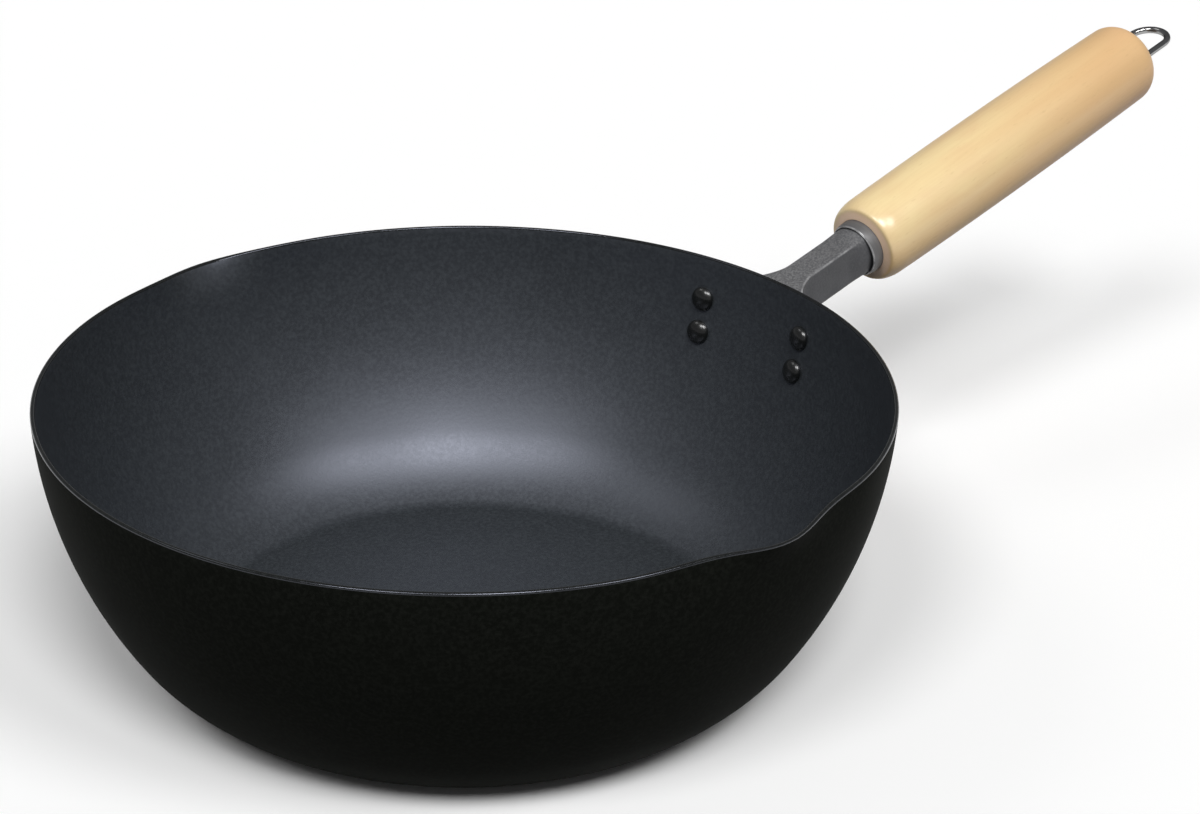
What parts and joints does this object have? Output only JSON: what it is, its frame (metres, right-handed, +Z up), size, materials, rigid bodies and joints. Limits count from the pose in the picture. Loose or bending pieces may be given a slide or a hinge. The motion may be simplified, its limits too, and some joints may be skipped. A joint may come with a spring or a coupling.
{
  "type": "frying pan",
  "caption": "Deep round iron frying pan with small pour lips, a riveted steel neck and collar, a turned wooden grip and a wire hanging loop at its end.",
  "frame": {"origin": "centre of the flat underside of the bowl", "axes": "+X towards the handle, +Y to the handle's left, +Z up; the pour lips lie on +Y and -Y"},
  "size_m": [0.5178, 0.2898, 0.1447],
  "materials": {
    "black_iron": "matte black heat-resistant coat with a very fine grain",
    "black_rivet": "smooth black coat, satin gloss",
    "grey_steel": "matte grey steel with a fine grain",
    "collar_steel": "smooth satin steel",
    "lacquered_wood": "pale wood under a clear satin lacquer",
    "bright_steel": "bright polished plating"
  },
  "bodies": {
    "pan": {"pan_body": "black_iron", "rivet_upper_left": "black_rivet", "rivet_upper_right": "black_rivet", "rivet_lower_left": "black_rivet", "rivet_lower_right": "black_rivet", "handle_bracket": "grey_steel", "collar": "collar_steel", "wood_grip": "lacquered_wood", "tie_rod": "grey_steel", "end_washer": "bright_steel"},
    "hanger": {"loop_nut": "bright_steel", "hanging_loop": "bright_steel"}
  },
  "joints": [
    {"name": "hanger_turn", "type": "hinge", "parent": "pan", "child": "hanger", "pos_m": [0.34791, 0, 0.12869], "axis": [0.9715, 0, 0.2368], "continuous": true}
  ]
}
